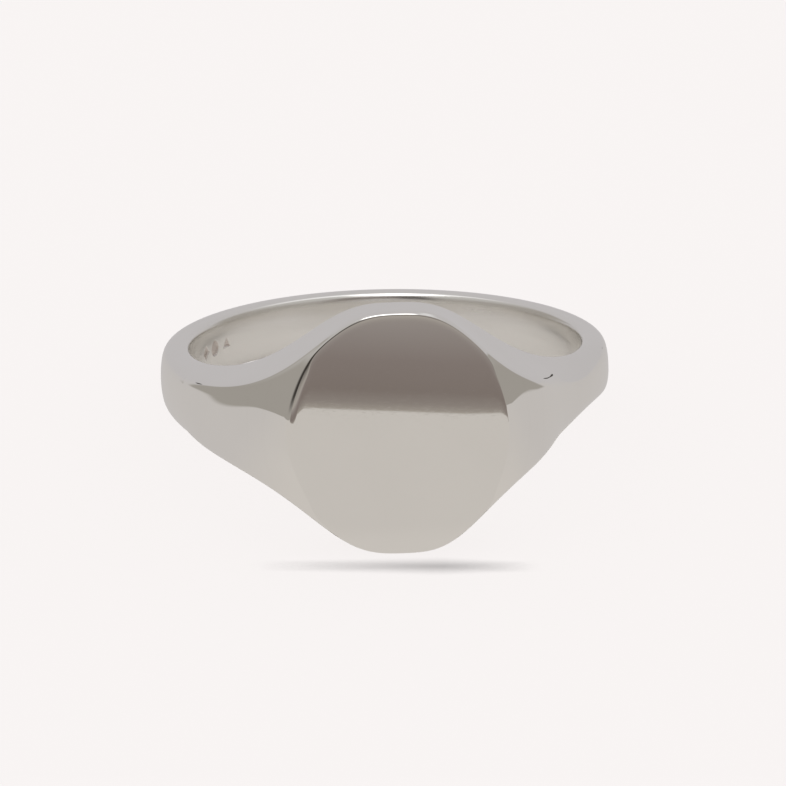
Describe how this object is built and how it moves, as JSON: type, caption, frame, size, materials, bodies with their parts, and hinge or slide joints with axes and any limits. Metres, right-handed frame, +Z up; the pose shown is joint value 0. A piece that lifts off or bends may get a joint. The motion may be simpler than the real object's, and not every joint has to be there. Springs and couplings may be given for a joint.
{
  "type": "signet ring",
  "caption": "Plain polished silver signet ring with a flat oval face, tapering shoulders and a slim comfort-fit band, lying on its side.",
  "frame": {"origin": "on the surface that the ring lies on, under the centre of its bounding box", "axes": "+Z up from that surface, the signet face looks towards -Y and a little upwards, +X towards the wearer's right shoulder of the ring; the finger axis leans from +Z towards +Y by the resting tilt"},
  "size_m": [0.02, 0.0216, 0.0109],
  "materials": {
    "silver": "mirror-polished sterling silver with a pale rhodium tone, faint wear lines",
    "solder": "silver solder, filed flush and polished with the metal beside it"
  },
  "bodies": {
    "root": {"signet_table": "silver", "signet_head": "silver", "left_shoulder": "silver", "right_shoulder": "silver", "shank": "silver", "table_solder": "solder", "left_head_solder": "solder", "right_head_solder": "solder", "left_shank_solder": "solder", "right_shank_solder": "solder"}
  },
  "joints": []
}
